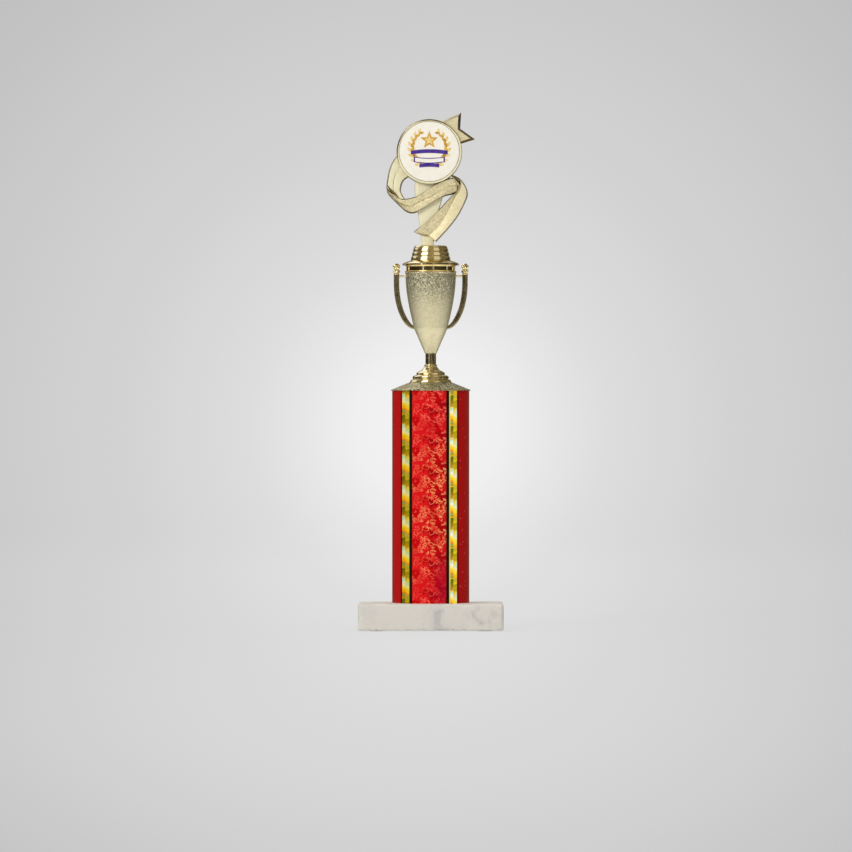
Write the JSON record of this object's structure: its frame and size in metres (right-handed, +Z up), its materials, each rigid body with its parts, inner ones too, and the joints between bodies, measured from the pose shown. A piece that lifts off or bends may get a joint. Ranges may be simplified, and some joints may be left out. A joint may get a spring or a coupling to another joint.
{
  "type": "column trophy",
  "caption": "Column trophy: stone slab, film-wrapped round column, two-handled cup and a ribbon and star figure holding a round insert.",
  "frame": {"origin": "centre of the base's underside, where it rests", "axes": "+Z up along the column, -Y towards the front of the insert and the figure, +X to the viewer's right"},
  "size_m": [0.123, 0.083, 0.4387],
  "materials": {
    "marble": "honed faces with rough sawn and chipped edges",
    "felt": "pale felt",
    "zinc_steel": "zinc plated",
    "black_plastic": "moulded",
    "tube_board": "plain extruded",
    "column_film": "glossy patterned foil film",
    "satin_gold": "metallised, fine textured",
    "bright_gold": "metallised, polished",
    "grained_gold": "metallised, pebble grained",
    "figure_gold": "metallised, satin faces and polished edges",
    "printed_disc": "printed film"
  },
  "bodies": {
    "root": {"marble_base": "marble", "base_pads": "felt", "base_washer": "zinc_steel", "base_nut": "zinc_steel", "tie_rod": "zinc_steel", "column_plug": "black_plastic", "column_tube": "tube_board", "column_wrap": "column_film", "column_lid": "satin_gold", "lid_washer": "zinc_steel", "lid_nut": "zinc_steel", "riser_foot": "bright_gold", "cup_body": "grained_gold", "cup_rim": "bright_gold", "handle_left": "bright_gold", "handle_right": "bright_gold", "figure_base": "bright_gold", "figure_nut": "zinc_steel", "award_figure": "figure_gold", "insert_disc": "printed_disc"}
  },
  "joints": []
}
